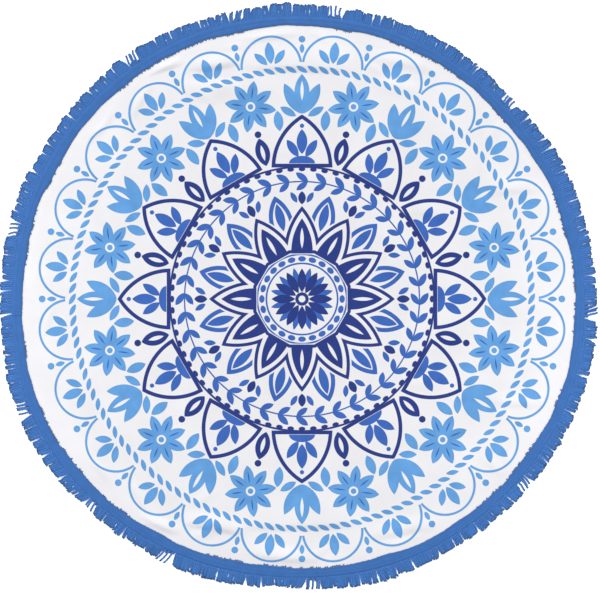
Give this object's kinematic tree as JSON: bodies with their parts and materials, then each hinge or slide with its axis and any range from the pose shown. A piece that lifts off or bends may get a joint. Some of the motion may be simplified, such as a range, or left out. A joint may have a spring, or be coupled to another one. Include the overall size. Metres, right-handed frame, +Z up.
{
  "type": "round beach towel",
  "caption": "Round flat beach towel of printed velour terry, edged all round with a woven tape and a cut yarn fringe.",
  "frame": {"origin": "middle of the fringed outline's box, on the surface that the towel lies on", "axes": "+Z up, out of the printed side; +Y towards the top of the print; +X to its right"},
  "size_m": [1.5136, 1.4832, 0.0098],
  "materials": {
    "velour_terry": "white cotton velour terry with a blue printed mandala on its upper face, looped pile underneath",
    "woven_tape": "mid-blue ribbed woven tape, matt",
    "fringe_yarn": "mid-blue soft twisted yarn, cut ends, matt"
  },
  "bodies": {
    "root": {"towel": "velour_terry", "heading": "woven_tape", "fringe": "fringe_yarn"}
  },
  "joints": []
}
